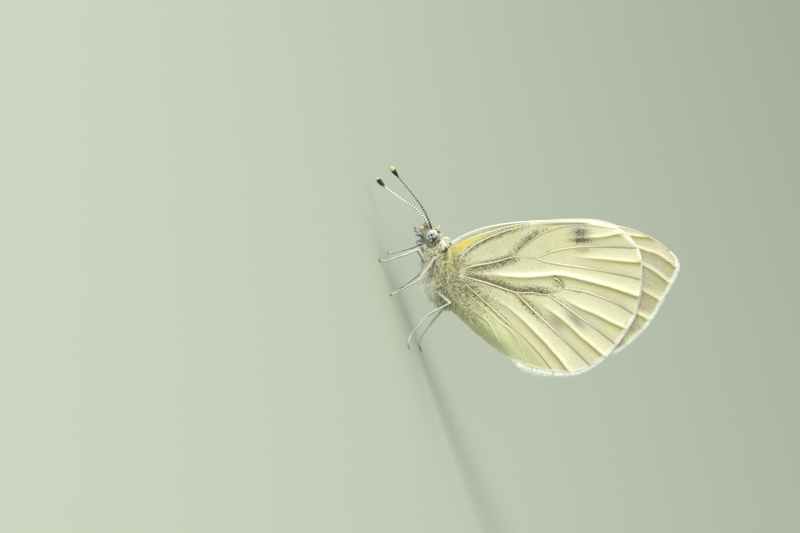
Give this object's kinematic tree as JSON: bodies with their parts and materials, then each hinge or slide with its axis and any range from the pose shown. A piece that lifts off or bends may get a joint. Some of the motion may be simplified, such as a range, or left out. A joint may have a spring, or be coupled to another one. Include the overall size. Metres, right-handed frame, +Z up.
{
  "type": "green-veined white butterfly",
  "caption": "Life-size butterfly standing with its wings closed over its back, slender legs, forward feelers and furred body.",
  "frame": {"origin": "on the floor under the middle of the whole insect's box", "axes": "+Z up from the floor along the closed wings, -X the way the head points, -Y the insect's left side"},
  "size_m": [0.0268, 0.0111, 0.0299],
  "materials": {
    "fur": "long cream and grey hair over dark skin",
    "wing_scales": "matt pale cream-yellow scales, grey dusted along the veins",
    "leg_scales": "pale grey scales, browner at the feet",
    "antenna": "dark with pale rings and a pale tip",
    "eye": "pale blue-green facets with dark spots",
    "proboscis": "dark brown coil"
  },
  "bodies": {
    "root": {"head": "fur", "thorax": "fur", "abdomen": "fur", "proboscis": "proboscis", "eye_left": "eye", "eye_right": "eye", "palp_left": "fur", "palp_right": "fur", "antenna_left": "antenna", "antenna_right": "antenna", "forewing_left": "wing_scales", "forewing_right": "wing_scales", "hindwing_left": "wing_scales", "hindwing_right": "wing_scales", "leg_front_left": "leg_scales", "leg_front_right": "leg_scales", "leg_middle_left": "leg_scales", "leg_middle_right": "leg_scales", "leg_hind_left": "leg_scales", "leg_hind_right": "leg_scales"}
  },
  "joints": []
}
